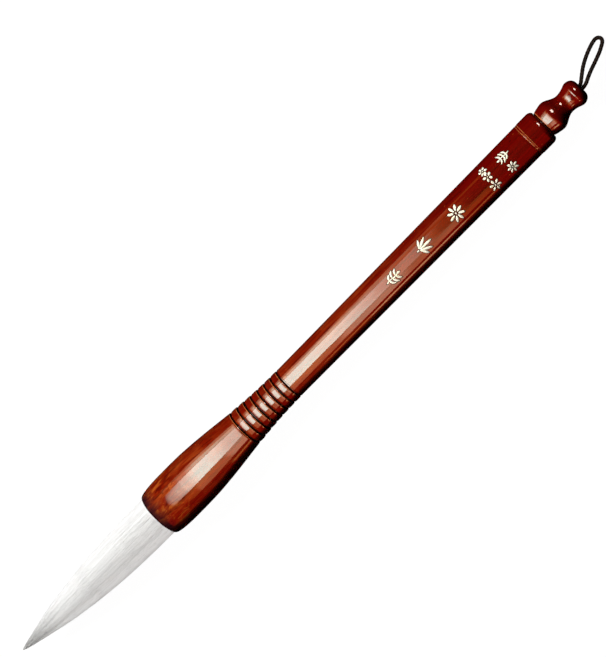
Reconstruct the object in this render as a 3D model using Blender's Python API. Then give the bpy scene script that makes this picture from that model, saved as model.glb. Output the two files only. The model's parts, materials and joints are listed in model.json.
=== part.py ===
"""A large calligraphy brush lying on a table, as an assembly of its separate pieces.

Every turned piece is drawn as an outline of (x, r) points, where x runs along the brush from the
writing tip (0) to the finial, and r is the distance from the brush's axis. The outlines are spun
about that axis. The axis belongs to the empty brush_axis, which lays the brush down so that it
rests on the belly of its ferrule and on its end collar.

The hair is one bundle on the real brush. It is cut here by two ball-shaped cuts, each centred on
a hinge, so that the belly and the tip of the tuft can bend without one piece entering another.
"""

import math

import bmesh
import bpy
from mathutils import Vector

MM = 0.001
FACETS = 24
GAP = 0.3 * MM

# Hair tuft: places along the axis, from the tip
MOUTH = 71.0 * MM
HAIR_RADIUS = 8.0 * MM
HAIR_POWER = 2.5
CORE_START = 6.0 * MM
CORE_RADIUS = 4.4 * MM
ROOT_END = MOUTH + 13.0 * MM
BINDING_START = MOUTH + 7.0 * MM
BINDING_END = MOUTH + 11.0 * MM
WAIST_RADIUS = 7.2 * MM

# The two bends of the tuft
BELLY_PIVOT = 48.0 * MM
BELLY_BALL = 12.0 * MM
TIP_PIVOT = 22.0 * MM
TIP_BALL = 9.0 * MM

# Binding thread and root seal
THREAD_RADIUS = 0.25 * MM
THREAD_TURNS = 4
THREAD_POINTS_PER_TURN = 18
SEAL_RADIUS = 7.2 * MM
SEAL_THICKNESS = 1.0 * MM
GLUE_THICKNESS = 0.5 * MM

# Ferrule: flared bell and ringed neck, turned from one piece
SOCKET_RADIUS = 8.3 * MM
LIP_RADIUS = 8.5 * MM
LIP_LENGTH = 9.0 * MM
BELLY_RADIUS = 9.78 * MM
BELLY_END = MOUTH + 15.0 * MM
NECK_START = MOUTH + 43.7 * MM
NECK_START_RADIUS = 7.3 * MM
NECK_END_RADIUS = 6.1 * MM
BEAD_COUNT = 7
BEAD_PITCH = 3.12 * MM
BEAD_CROWN = 0.08 * MM
GROOVE_WIDTH = 0.55 * MM
GROOVE_DEPTH = 0.38 * MM
NECK_END = NECK_START + BEAD_COUNT * BEAD_PITCH
FERRULE_END = NECK_END + 0.7 * MM
TENON_RADIUS = 4.0 * MM
TENON_LENGTH = 14.0 * MM

# Shaft
SHAFT_START = FERRULE_END + GAP
SHAFT_START_RADIUS = 6.08 * MM
SHAFT_END = 254.3 * MM
SHAFT_END_RADIUS = 6.6 * MM
END_BORE_RADIUS = 3.9 * MM
END_BORE_DEPTH = 18.0 * MM

# End collar and finial
COLLAR_START = SHAFT_END + GAP
COLLAR_END = 260.8 * MM
COLLAR_RADIUS = 6.69 * MM
COLLAR_SHOULDER = 2.0 * MM
COLLAR_NOTCH_RADIUS = 5.3 * MM
FINIAL_START = COLLAR_END + GAP
FINIAL_END = 278.2 * MM
FINIAL_LIP_RADIUS = 5.25 * MM
ARRIS = 275.0 * MM
ARRIS_RADIUS = 4.82 * MM
CROWN_RADIUS = 2.3 * MM
FINIAL_TENON_RADIUS = 3.6 * MM
FINIAL_TENON_END = SHAFT_END - 8.5 * MM
PASSAGE_RADIUS = 1.5 * MM

# Hanging cord
CORD_RADIUS = 0.64 * MM
LEG_OFFSET = 0.69 * MM
TABLE_GAP = 0.03 * MM
EXIT = FINIAL_END + 0.6 * MM
CUP_RADIUS = 1.85 * MM
LEG_TOP = EXIT - 1.6 * MM
KNOT_BOTTOM = FINIAL_TENON_END - 5.6 * MM
KNOT_RADIUS = 2.25 * MM
KNOT_PITCH = 1.45 * MM
KNOT_TURNS = 2
KNOT_POINTS_PER_TURN = 12

# Route of the loop's centreline, from the exit: along the table, across it, share of the way down
LOOP_ROUTE_MM = (
    (-0.2, 0.69, 0.00),
    (0.6, 1.16, 0.01),
    (1.6, 1.95, 0.05),
    (3.0, 3.02, 0.15),
    (4.7, 4.24, 0.29),
    (6.9, 5.48, 0.49),
    (9.3, 6.56, 0.69),
    (11.4, 7.32, 0.85),
    (13.0, 7.74, 0.94),
    (14.2, 7.88, 0.99),
    (15.1, 7.56, 1.00),
    (15.6, 6.86, 1.00),
    (15.55, 6.04, 1.00),
    (14.95, 5.36, 0.98),
    (13.9, 4.72, 0.94),
    (12.3, 3.90, 0.86),
    (10.3, 3.10, 0.75),
    (8.2, 2.36, 0.60),
    (6.0, 1.62, 0.41),
    (3.7, 0.70, 0.20),
    (1.6, -0.28, 0.04),
    (-0.2, -0.69, 0.00),
)
LOOP_STEPS_PER_SPAN = 2

# Colours: linear red, green, blue
LACQUERED_WOOD = (0.16, 0.018, 0.008)
WHITE_HAIR = (0.86, 0.85, 0.82)
BROWN_HAIR = (0.42, 0.26, 0.13)
BLACK_CORD = (0.022, 0.012, 0.009)
COTTON = (0.72, 0.66, 0.52)
RESIN = (0.30, 0.12, 0.03)
GLUE = (0.55, 0.45, 0.22)


def clear_scene():
    """Removes whatever the startup file holds."""
    for obj in list(bpy.data.objects):
        bpy.data.objects.remove(obj)


def smooth_curve(points, steps):
    """Points of a Catmull-Rom curve through the given points, with this many steps to a span."""
    knots = [Vector(p) for p in points]
    knots = [2 * knots[0] - knots[1], *knots, 2 * knots[-1] - knots[-2]]
    curve = []
    for before, start, end, after in zip(knots, knots[1:], knots[2:], knots[3:]):
        for step in range(steps):
            t = step / steps
            curve.append(
                start
                + 0.5 * t * (end - before)
                + t * t * (before - 2.5 * start + 2 * end - 0.5 * after)
                + t * t * t * (1.5 * (start - end) + 0.5 * (after - before))
            )
    curve.append(knots[-2])
    return curve


def quarter_ellipse(centre, reach, steps):
    """Outline points from (centre.x + reach.x, centre.r) round to (centre.x, centre.r + reach.r)."""
    angles = [math.pi / 2 * step / steps for step in range(steps + 1)]
    return [
        (centre[0] + reach[0] * math.cos(a), centre[1] + reach[1] * math.sin(a)) for a in angles
    ]


def hair_radius(x):
    """Outer radius of the tuft at a distance from its tip."""
    if x >= MOUTH:
        return HAIR_RADIUS
    return HAIR_RADIUS * (1 - (1 - x / MOUTH) ** HAIR_POWER)


def core_radius(x):
    """Radius of the stiff core inside the tuft."""
    if x >= MOUTH:
        return CORE_RADIUS
    return CORE_RADIUS * (1 - (1 - (x - CORE_START) / (MOUTH - CORE_START)) ** HAIR_POWER)


def cavity_radius(x):
    """Radius of the hollow in the outer coat, which the core fills."""
    return core_radius(x) + GAP


def where_ball_meets(radius_at, pivot, ball):
    """The x at which a ball round a pivot on the axis cuts a turned surface, on its finial side."""
    x = pivot + ball
    for _ in range(60):
        x = pivot + math.sqrt(ball**2 - radius_at(x) ** 2)
    return x


def ball_arc(pivot, ball, start_radius, end_radius, steps=4):
    """Outline points along a ball's finial side, from one radius to another."""
    radii = [start_radius + (end_radius - start_radius) * i / steps for i in range(steps + 1)]
    return [(pivot + math.sqrt(ball**2 - r * r), r) for r in radii]


def along(radius_at, start, end, steps):
    """Outline points of a turned surface between two places, ends included."""
    places = [start + (end - start) * i / steps for i in range(steps + 1)]
    return [(x, radius_at(x)) for x in places]


def without_repeats(outline):
    """The outline with points that lie on their neighbour dropped."""
    kept = [outline[0]]
    for point in outline[1:]:
        if math.dist(point, kept[-1]) > 1e-6:
            kept.append(point)
    return kept


def make_material(name, colour, roughness):
    material = bpy.data.materials.new(name)
    material.use_nodes = True
    shader = material.node_tree.nodes["Principled BSDF"]
    shader.inputs["Base Color"].default_value = (*colour, 1)
    shader.inputs["Roughness"].default_value = roughness
    shader.inputs["Metallic"].default_value = 0
    return material


def make_empty(name, parent=None, location=(0, 0, 0), rotation=(0, 0, 0)):
    empty = bpy.data.objects.new(name, None)
    bpy.context.scene.collection.objects.link(empty)
    empty.parent = parent
    empty.location = location
    empty.rotation_euler = rotation
    return empty


def add_object(name, data, parent, colour, roughness):
    data.materials.append(make_material(name, colour, roughness))
    obj = bpy.data.objects.new(name, data)
    bpy.context.scene.collection.objects.link(obj)
    obj.parent = parent
    return obj


def turned(name, outline, parent, colour, roughness, pivot=0.0):
    """A solid of revolution. An outline that ends on the axis is open there, and any other closes
    on itself. The first facet is turned half a facet, so a flat one lies underneath."""
    outline = without_repeats(outline)
    half_facet = math.pi / FACETS
    mesh = bmesh.new()
    verts = [
        mesh.verts.new((x - pivot, r * math.sin(half_facet), r * math.cos(half_facet)))
        for x, r in outline
    ]
    pairs = list(zip(verts, verts[1:]))
    if outline[0][1] > 0 and outline[-1][1] > 0:
        pairs.append((verts[-1], verts[0]))
    edges = [mesh.edges.new(pair) for pair in pairs]
    bmesh.ops.spin(
        mesh,
        geom=verts + edges,
        cent=(0, 0, 0),
        axis=(1, 0, 0),
        angle=math.tau,
        steps=FACETS,
        use_merge=True,
    )
    bmesh.ops.remove_doubles(mesh, verts=mesh.verts, dist=1e-7)
    bmesh.ops.recalc_face_normals(mesh, faces=mesh.faces)
    data = bpy.data.meshes.new(name)
    mesh.to_mesh(data)
    mesh.free()
    data.shade_smooth()
    data.set_sharp_from_angle(angle=math.radians(30))
    return add_object(name, data, parent, colour, roughness)


def tube(name, points, radius, parent, colour, roughness, resolution=2):
    """A round tube along the points, with closed ends."""
    data = bpy.data.curves.new(name, "CURVE")
    data.dimensions = "3D"
    data.bevel_depth = radius
    data.bevel_resolution = resolution
    data.use_fill_caps = True
    spline = data.splines.new("POLY")
    spline.points.add(len(points) - 1)
    for slot, point in zip(spline.points, points):
        slot.co = (*point, 1)
    return add_object(name, data, parent, colour, roughness)


def ferrule_outline():
    """Mouth, lip, belly, ringed neck and tenon bore. Starts and ends in the wall between the bores."""
    socket_bottom = ROOT_END + SEAL_THICKNESS + GLUE_THICKNESS + 3 * GAP
    bore = TENON_RADIUS + GAP
    lip = quarter_ellipse(
        (MOUTH + LIP_LENGTH, LIP_RADIUS), (-LIP_LENGTH, BELLY_RADIUS - LIP_RADIUS), 5
    )
    bell = smooth_curve(
        (
            (BELLY_END, BELLY_RADIUS),
            (MOUTH + 21.0 * MM, 9.6 * MM),
            (MOUTH + 27.0 * MM, 9.15 * MM),
            (MOUTH + 33.0 * MM, 8.55 * MM),
            (MOUTH + 39.0 * MM, 7.84 * MM),
            (NECK_START - GROOVE_WIDTH, NECK_START_RADIUS + GROOVE_DEPTH / 4),
        ),
        1,
    )
    return [
        (socket_bottom, 0),
        (socket_bottom, SOCKET_RADIUS),
        (MOUTH, SOCKET_RADIUS),
        *lip,
        *[tuple(point) for point in bell],
        *neck_outline(),
        (FERRULE_END, NECK_END_RADIUS),
        (FERRULE_END, bore),
        (FERRULE_END - TENON_LENGTH - 2 * GAP, bore),
        (FERRULE_END - TENON_LENGTH - 2 * GAP, 0),
    ]


def neck_radius(x):
    share = (NECK_END - x) / (NECK_END - NECK_START)
    return NECK_END_RADIUS + (NECK_START_RADIUS - NECK_END_RADIUS) * share**2


def neck_outline():
    """A groove before, between and after the turned beads."""
    points = []
    for i in range(BEAD_COUNT + 1):
        x = NECK_START + i * BEAD_PITCH
        points += [
            (x - GROOVE_WIDTH / 2, neck_radius(x)),
            (x, neck_radius(x) - GROOVE_DEPTH),
            (x + GROOVE_WIDTH / 2, neck_radius(x)),
        ]
        if i < BEAD_COUNT:
            crown = x + BEAD_PITCH / 2
            points.append((crown, neck_radius(crown) + BEAD_CROWN))
    return points


def shaft_outline():
    """Front tenon, tapered shaft and the end bore that holds the finial's tenon and the knot."""
    tenon_start = FERRULE_END - TENON_LENGTH
    bore_bottom = SHAFT_END - END_BORE_DEPTH
    edge = GAP
    return [
        (tenon_start, 0),
        (tenon_start, TENON_RADIUS - edge),
        (tenon_start + edge, TENON_RADIUS),
        (SHAFT_START, TENON_RADIUS),
        (SHAFT_START, SHAFT_START_RADIUS),
        (SHAFT_END - edge, SHAFT_END_RADIUS),
        (SHAFT_END, SHAFT_END_RADIUS - edge),
        (SHAFT_END, END_BORE_RADIUS),
        (bore_bottom, END_BORE_RADIUS),
        (bore_bottom, 0),
    ]


def collar_outline():
    """A ring with a rounded shoulder towards the finial."""
    edge = GAP / 2
    shoulder = quarter_ellipse(
        (COLLAR_END - COLLAR_SHOULDER, COLLAR_NOTCH_RADIUS),
        (COLLAR_SHOULDER, COLLAR_RADIUS - COLLAR_NOTCH_RADIUS),
        4,
    )
    return [
        (COLLAR_START, END_BORE_RADIUS),
        (COLLAR_START, COLLAR_RADIUS - edge),
        (COLLAR_START + edge, COLLAR_RADIUS),
        *reversed(shoulder),
        (COLLAR_END, END_BORE_RADIUS),
    ]


def finial_outline():
    """Tenon, double-bulbed head and cupped cord hole, round a passage that runs right through."""
    bulb = smooth_curve(
        (
            (FINIAL_START, FINIAL_LIP_RADIUS),
            (FINIAL_START + 3.0 * MM, 5.78 * MM),
            (FINIAL_START + 5.5 * MM, 5.36 * MM),
            (FINIAL_START + 7.3 * MM, 4.48 * MM),
            (FINIAL_START + 9.7 * MM, 3.86 * MM),
            (FINIAL_START + 12.2 * MM, 4.35 * MM),
            (ARRIS, ARRIS_RADIUS),
        ),
        2,
    )
    dome = quarter_ellipse((ARRIS, CROWN_RADIUS), (FINIAL_END - ARRIS, ARRIS_RADIUS - CROWN_RADIUS), 5)
    cup_rim = math.sqrt(CUP_RADIUS**2 - (EXIT - FINIAL_END) ** 2)
    cup_bottom = EXIT - math.sqrt(CUP_RADIUS**2 - PASSAGE_RADIUS**2)
    cup_middle = (cup_rim + PASSAGE_RADIUS) / 2
    return [
        (FINIAL_TENON_END, PASSAGE_RADIUS),
        (FINIAL_TENON_END, FINIAL_TENON_RADIUS),
        (FINIAL_START, FINIAL_TENON_RADIUS),
        *[tuple(point) for point in bulb],
        *reversed(dome),
        (FINIAL_END, cup_rim),
        (EXIT - math.sqrt(CUP_RADIUS**2 - cup_middle**2), cup_middle),
        (cup_bottom, PASSAGE_RADIUS),
    ]


def coat_root_outline():
    """Outer hair from the first bend to its bound root inside the ferrule."""
    ball = BELLY_BALL + GAP
    outer_start = where_ball_meets(hair_radius, BELLY_PIVOT, ball)
    inner_start = where_ball_meets(cavity_radius, BELLY_PIVOT, ball)
    return [
        *along(hair_radius, outer_start, MOUTH, 3),
        (BINDING_START - 2 * GAP, HAIR_RADIUS),
        (BINDING_START, WAIST_RADIUS),
        (BINDING_END, WAIST_RADIUS),
        (BINDING_END + 2 * GAP, WAIST_RADIUS + GAP),
        (ROOT_END, WAIST_RADIUS + GAP),
        (ROOT_END, cavity_radius(ROOT_END)),
        *along(cavity_radius, MOUTH, inner_start, 2),
        *ball_arc(BELLY_PIVOT, ball, cavity_radius(inner_start), hair_radius(outer_start)),
    ]


def coat_belly_outline():
    """Outer hair between the two bends."""
    outer_end = where_ball_meets(hair_radius, BELLY_PIVOT, BELLY_BALL)
    inner_end = where_ball_meets(cavity_radius, BELLY_PIVOT, BELLY_BALL)
    ball = TIP_BALL + GAP
    outer_start = where_ball_meets(hair_radius, TIP_PIVOT, ball)
    inner_start = where_ball_meets(cavity_radius, TIP_PIVOT, ball)
    return [
        *along(hair_radius, outer_start, outer_end, 6),
        *ball_arc(BELLY_PIVOT, BELLY_BALL, hair_radius(outer_end), cavity_radius(inner_end)),
        *along(cavity_radius, inner_end, inner_start, 4),
        *ball_arc(TIP_PIVOT, ball, cavity_radius(inner_start), hair_radius(outer_start)),
    ]


def coat_tip_outline():
    """Outer hair from the second bend to the writing point."""
    outer_end = where_ball_meets(hair_radius, TIP_PIVOT, TIP_BALL)
    inner_end = where_ball_meets(cavity_radius, TIP_PIVOT, TIP_BALL)
    return [
        *along(hair_radius, 0, outer_end, 10),
        *ball_arc(TIP_PIVOT, TIP_BALL, hair_radius(outer_end), cavity_radius(inner_end), 3),
        *along(cavity_radius, inner_end, CORE_START, 5),
        (CORE_START - GAP, 0),
    ]


def core_root_outline():
    ball = BELLY_BALL + GAP
    start = where_ball_meets(core_radius, BELLY_PIVOT, ball)
    return [
        *ball_arc(BELLY_PIVOT, ball, 0, core_radius(start)),
        *along(core_radius, start, MOUTH, 3),
        (ROOT_END, CORE_RADIUS),
        (ROOT_END, 0),
    ]


def core_belly_outline():
    ball = TIP_BALL + GAP
    start = where_ball_meets(core_radius, TIP_PIVOT, ball)
    end = where_ball_meets(core_radius, BELLY_PIVOT, BELLY_BALL)
    return [
        *ball_arc(TIP_PIVOT, ball, 0, core_radius(start), 3),
        *along(core_radius, start, end, 4),
        *ball_arc(BELLY_PIVOT, BELLY_BALL, core_radius(end), 0, 3),
    ]


def core_tip_outline():
    end = where_ball_meets(core_radius, TIP_PIVOT, TIP_BALL)
    return [
        *along(core_radius, CORE_START, end, 5),
        *ball_arc(TIP_PIVOT, TIP_BALL, core_radius(end), 0, 3),
    ]


def disc_outline(start, thickness, radius):
    """A round cake of resin or glue, with its edge rounded off."""
    edge = thickness / 3
    end = start + thickness
    return [
        (start, 0),
        (start, radius - edge),
        (start + edge, radius),
        (end - edge, radius),
        (end, radius - edge),
        (end, 0),
    ]


def binding_points():
    """A helix of thread round the waist of the root."""
    steps = THREAD_TURNS * THREAD_POINTS_PER_TURN
    first = BINDING_START + 2 * THREAD_RADIUS
    last = BINDING_END - 2 * THREAD_RADIUS
    radius = WAIST_RADIUS + GAP / 2 + THREAD_RADIUS
    points = []
    for i in range(steps + 1):
        turn = math.tau * i / THREAD_POINTS_PER_TURN
        x = first + (last - first) * i / steps
        points.append((x, radius * math.cos(turn), radius * math.sin(turn)))
    return points


def knot_points():
    """Down one leg, round the legs in two wraps, and up the other leg."""
    steps = KNOT_TURNS * KNOT_POINTS_PER_TURN
    wraps = []
    for i in range(steps + 1):
        turn = math.pi + math.tau * i / KNOT_POINTS_PER_TURN
        x = KNOT_BOTTOM + KNOT_PITCH * i / KNOT_POINTS_PER_TURN
        wraps.append((x, KNOT_RADIUS * math.cos(turn), KNOT_RADIUS * math.sin(turn)))
    wraps_end = wraps[-1][0]
    return [
        (LEG_TOP, LEG_OFFSET, 0),
        (wraps_end, LEG_OFFSET, 0),
        (KNOT_BOTTOM + 2 * CORD_RADIUS, LEG_OFFSET / 2, 0),
        (KNOT_BOTTOM, -LEG_OFFSET, 0),
        *wraps,
        (wraps_end + CORD_RADIUS, -KNOT_RADIUS * 0.75, 0),
        (wraps_end + 2.5 * CORD_RADIUS, -LEG_OFFSET, 0),
        (LEG_TOP, -LEG_OFFSET, 0),
    ]


def loop_points(exit_height):
    """The loop's centreline from the exit, which sinks until it lies on the table."""
    fall = exit_height - CORD_RADIUS - TABLE_GAP
    route = [(x * MM, y * MM, -fall * down) for x, y, down in LOOP_ROUTE_MM]
    return smooth_curve(route, LOOP_STEPS_PER_SPAN)


def lay_down():
    """The tilt and the height at x = 0 that rest the belly and the collar on the table."""
    flat = math.cos(math.pi / FACETS)
    collar_contact = COLLAR_END - COLLAR_SHOULDER
    fall = (BELLY_RADIUS - COLLAR_RADIUS) * flat
    tilt = math.atan(fall / (collar_contact - BELLY_END))
    height = BELLY_END * math.sin(tilt) + BELLY_RADIUS * flat * math.cos(tilt)
    return tilt, height


def build_handle(axis):
    wood = (LACQUERED_WOOD, 0.25)
    turned("ferrule", ferrule_outline(), axis, *wood)
    turned("shaft", shaft_outline(), axis, *wood)
    turned("end_collar", collar_outline(), axis, *wood)
    turned("finial", finial_outline(), axis, *wood)
    tube("loop_knot", knot_points(), CORD_RADIUS, axis, BLACK_CORD, 0.8)


def build_root(axis):
    seal_start = ROOT_END + GAP
    glue_start = seal_start + SEAL_THICKNESS + GAP
    turned("hair_coat_root", coat_root_outline(), axis, WHITE_HAIR, 0.6)
    turned("hair_core_root", core_root_outline(), axis, BROWN_HAIR, 0.6)
    tube("root_binding_thread", binding_points(), THREAD_RADIUS, axis, COTTON, 0.8, resolution=1)
    seal = disc_outline(seal_start, SEAL_THICKNESS, SEAL_RADIUS)
    turned("root_resin_seal", seal, axis, RESIN, 0.3)
    glue = disc_outline(glue_start, GLUE_THICKNESS, HAIR_RADIUS)
    turned("ferrule_glue", glue, axis, GLUE, 0.3)


def build_tuft(axis):
    belly_pivot = make_empty("belly_pivot", axis, (BELLY_PIVOT, 0, 0))
    tip_pivot = make_empty("tip_pivot", belly_pivot, (TIP_PIVOT - BELLY_PIVOT, 0, 0))
    for name, outline, colour, parent, pivot in (
        ("hair_coat_belly", coat_belly_outline(), WHITE_HAIR, belly_pivot, BELLY_PIVOT),
        ("hair_core_belly", core_belly_outline(), BROWN_HAIR, belly_pivot, BELLY_PIVOT),
        ("hair_coat_tip", coat_tip_outline(), WHITE_HAIR, tip_pivot, TIP_PIVOT),
        ("hair_core_tip", core_tip_outline(), BROWN_HAIR, tip_pivot, TIP_PIVOT),
    ):
        turned(name, outline, parent, colour, 0.6, pivot)


def build_loop(axis, tilt, height):
    """The loop's pivot stands upright, so its axes are the table's and not the brush's."""
    pivot = make_empty("loop_pivot", axis, (EXIT, 0, 0), (0, -tilt, 0))
    exit_height = height - EXIT * math.sin(tilt)
    tube("hanging_loop", loop_points(exit_height), CORD_RADIUS, pivot, BLACK_CORD, 0.8)


def main():
    clear_scene()
    tilt, height = lay_down()
    middle = FINIAL_END * math.cos(tilt) / 2
    axis = make_empty("brush_axis", None, (-middle, 0, height), (0, tilt, 0))
    build_handle(axis)
    build_root(axis)
    build_tuft(axis)
    build_loop(axis, tilt, height)


main()
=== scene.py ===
"""Looks for the calligraphy brush: lacquered turned wood, a tuft of white hair, inlaid ornaments
and a braided hanging loop, under soft studio light.

Most pieces are made in the brush's own space: x along its axis from the writing tip, y across the
table, z up. BRUSH takes that space to the row frame. Lengths in that space are in millimetres
until a piece is finished.
"""

import json
import math
import random

import bmesh
import bpy
import numpy as np
from mathutils import Matrix, Vector

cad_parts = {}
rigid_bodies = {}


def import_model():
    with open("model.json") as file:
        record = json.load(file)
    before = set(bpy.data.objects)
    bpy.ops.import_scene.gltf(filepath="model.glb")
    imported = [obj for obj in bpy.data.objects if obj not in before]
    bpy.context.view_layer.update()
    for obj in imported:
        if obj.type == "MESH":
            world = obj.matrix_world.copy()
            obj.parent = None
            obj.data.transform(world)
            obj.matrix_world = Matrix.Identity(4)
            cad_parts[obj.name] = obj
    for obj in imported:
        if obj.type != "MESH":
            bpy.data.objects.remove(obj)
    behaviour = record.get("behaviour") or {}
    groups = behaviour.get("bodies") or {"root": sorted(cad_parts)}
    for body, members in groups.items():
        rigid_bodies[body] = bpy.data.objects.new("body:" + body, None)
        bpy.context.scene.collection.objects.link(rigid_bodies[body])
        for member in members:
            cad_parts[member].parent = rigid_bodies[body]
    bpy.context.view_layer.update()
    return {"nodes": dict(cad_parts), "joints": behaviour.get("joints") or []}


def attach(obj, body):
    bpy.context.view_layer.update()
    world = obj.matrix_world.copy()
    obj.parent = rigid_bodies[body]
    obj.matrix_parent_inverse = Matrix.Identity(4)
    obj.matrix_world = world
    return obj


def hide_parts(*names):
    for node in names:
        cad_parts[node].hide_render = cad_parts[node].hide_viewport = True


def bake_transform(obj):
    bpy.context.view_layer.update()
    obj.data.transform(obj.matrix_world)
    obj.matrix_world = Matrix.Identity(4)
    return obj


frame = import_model()

MM = 0.001
SEED = 16

# Places along the axis, from the writing tip, in mm
BELLY_PIVOT = 48.0
MOUTH = 71.0
BELLY_END = 86.0
NECK_START = 114.7
BEAD_COUNT = 7
BEAD_PITCH = 3.12
NECK_END = NECK_START + BEAD_COUNT * BEAD_PITCH
FERRULE_END = NECK_END + 0.7
SHAFT_END = 254.3
COLLAR_END = 260.8
FINIAL_END = 278.2
EXIT = 278.8
GAP = 0.3

# Radii, in mm
HAIR_RADIUS = 8.0
SOCKET_RADIUS = 8.3
BELLY_RADIUS = 9.78
TENON_RADIUS = 4.0
END_BORE_RADIUS = 3.9
CORD_RADIUS = 0.64
LEG_OFFSET = 0.69
TABLE_GAP = 0.03

# The tuft is made in two lengths of hair, which meet in the stiff stretch between its two bends.
# The strands are cut within CUT_SPREAD of that place
HAIR_CUT = 36.0
CUT_SPREAD = 2.0
HAIR_ROOT = MOUTH + 3.0
STRAND_COUNT = 1700

# Camera, from the brush's axis: where it stands, its tilt and roll, and its focal length
CAMERA_AT = (261.4, 9.8, 681.2)
CAMERA_TILT = math.radians(8.98)
CAMERA_ROLL = math.radians(45.53)
FOCAL_PIXELS = 2000
FRAME_HEIGHT = 657
SENSOR = 36

# Light: how far the panels stand from the axis, in m, and how much further each tier stands
PANEL_DISTANCE = 0.4
TIER_STEP = 0.002
FILL_STRENGTH = 0.008
KEY_WATTS = 26.5
HAIR_KEY_WATTS = 11.2
HAIR_TOP_WATTS = 0.62 * HAIR_KEY_WATTS
HAIR_FILL_WATTS = 0.34 * HAIR_KEY_WATTS
SMALL_LAMP_WATTS = 13.0

# Route of the loop's centreline, from the exit: along the table, across it, share of the way down
LOOP_ROUTE = (
    (-0.2, 0.69, 0.00),
    (0.6, 1.16, 0.01),
    (1.6, 1.95, 0.05),
    (3.0, 3.02, 0.15),
    (4.7, 4.24, 0.29),
    (6.9, 5.48, 0.49),
    (9.3, 6.56, 0.69),
    (11.4, 7.32, 0.85),
    (13.0, 7.74, 0.94),
    (14.2, 7.88, 0.99),
    (15.1, 7.56, 1.00),
    (15.6, 6.86, 1.00),
    (15.55, 6.04, 1.00),
    (14.95, 5.36, 0.98),
    (13.9, 4.72, 0.94),
    (12.3, 3.90, 0.86),
    (10.3, 3.10, 0.75),
    (8.2, 2.36, 0.60),
    (6.0, 1.62, 0.41),
    (3.7, 0.70, 0.20),
    (1.6, -0.28, 0.04),
    (-0.2, -0.69, 0.00),
)


def brush_space():
    """The matrix from the brush's space, in metres, to the row frame."""
    joints = {joint["name"]: joint for joint in frame["joints"]}
    belly = Vector(joints["belly_bend"]["pos_m"])
    exit_point = Vector(joints["loop_swing"]["pos_m"])
    along = (exit_point - belly).normalized()
    across = Vector((0, 1, 0))
    up = along.cross(across)
    matrix = Matrix((along, across, up)).transposed().to_4x4()
    matrix.translation = belly - along * BELLY_PIVOT * MM
    return matrix


BRUSH = brush_space()


def to_row(point):
    """A point of the brush's space, in mm, in the row frame, in metres."""
    return BRUSH @ (Vector(point) * MM)


# ---------------------------------------------------------------- curves and meshes


def smooth_curve(points, steps):
    """Points of a Catmull-Rom curve through the given points, with this many steps to a span."""
    knots = [np.array(p, float) for p in points]
    knots = [2 * knots[0] - knots[1], *knots, 2 * knots[-1] - knots[-2]]
    curve = []
    for before, start, end, after in zip(knots, knots[1:], knots[2:], knots[3:]):
        for step in range(steps):
            t = step / steps
            curve.append(
                start
                + 0.5 * t * (end - before)
                + t * t * (before - 2.5 * start + 2 * end - 0.5 * after)
                + t * t * t * (1.5 * (start - end) + 0.5 * (after - before))
            )
    curve.append(knots[-2])
    return [tuple(float(c) for c in point) for point in curve]


def quarter_ellipse(centre, reach, steps):
    """Outline points round a quarter turn, from centre + reach along x to centre + reach in r."""
    angles = [math.pi / 2 * step / steps for step in range(steps + 1)]
    return [
        (centre[0] + reach[0] * math.cos(a), centre[1] + reach[1] * math.sin(a)) for a in angles
    ]


def without_repeats(outline):
    """The outline with points that lie on their neighbour dropped."""
    kept = [outline[0]]
    for point in outline[1:]:
        if math.dist(point, kept[-1]) > 0.001:
            kept.append(point)
    return kept


def add_object(name, data):
    obj = bpy.data.objects.new(name, data)
    bpy.context.scene.collection.objects.link(obj)
    return obj


def store(data, name, values):
    """Keeps one vector for each vertex, which materials read instead of the vertex's place."""
    attribute = data.attributes.new(name, "FLOAT_VECTOR", "POINT")
    attribute.data.foreach_set("vector", np.asarray(values, np.float32).ravel())


def into_row(data):
    """Takes a mesh in mm in the brush's space to the row frame. The attribute brush_mm keeps each
    vertex's place in the brush's space, so that grain runs true."""
    places = np.empty(len(data.vertices) * 3, np.float32)
    data.vertices.foreach_get("co", places)
    store(data, "brush_mm", places)
    data.transform(BRUSH @ Matrix.Scale(MM, 4))


def mesh_object(name, verts, faces):
    """A smooth object in the row frame from points in mm in the brush's space."""
    data = bpy.data.meshes.new(name)
    data.from_pydata(np.asarray(verts).tolist(), [], faces)
    data.shade_smooth()
    into_row(data)
    return add_object(name, data)


def turned(name, outline, segments=144, sharp=35):
    """A solid of revolution in the brush's space. An outline that starts and ends on the axis is
    open there, and any other closes on itself."""
    outline = without_repeats(outline)
    mesh = bmesh.new()
    verts = [mesh.verts.new((x, 0, r)) for x, r in outline]
    pairs = list(zip(verts, verts[1:]))
    if outline[0][1] > 0 and outline[-1][1] > 0:
        pairs.append((verts[-1], verts[0]))
    edges = [mesh.edges.new(pair) for pair in pairs]
    bmesh.ops.spin(
        mesh,
        geom=verts + edges,
        cent=(0, 0, 0),
        axis=(1, 0, 0),
        angle=math.tau,
        steps=segments,
        use_merge=True,
    )
    bmesh.ops.remove_doubles(mesh, verts=mesh.verts, dist=1e-4)
    bmesh.ops.recalc_face_normals(mesh, faces=mesh.faces)
    data = bpy.data.meshes.new(name)
    mesh.to_mesh(data)
    mesh.free()
    into_row(data)
    data.shade_smooth()
    data.set_sharp_from_angle(angle=math.radians(sharp))
    return add_object(name, data)


def paint(obj, material):
    obj.data.materials.clear()
    obj.data.materials.append(material)


# ---------------------------------------------------------------- material nodes


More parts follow.
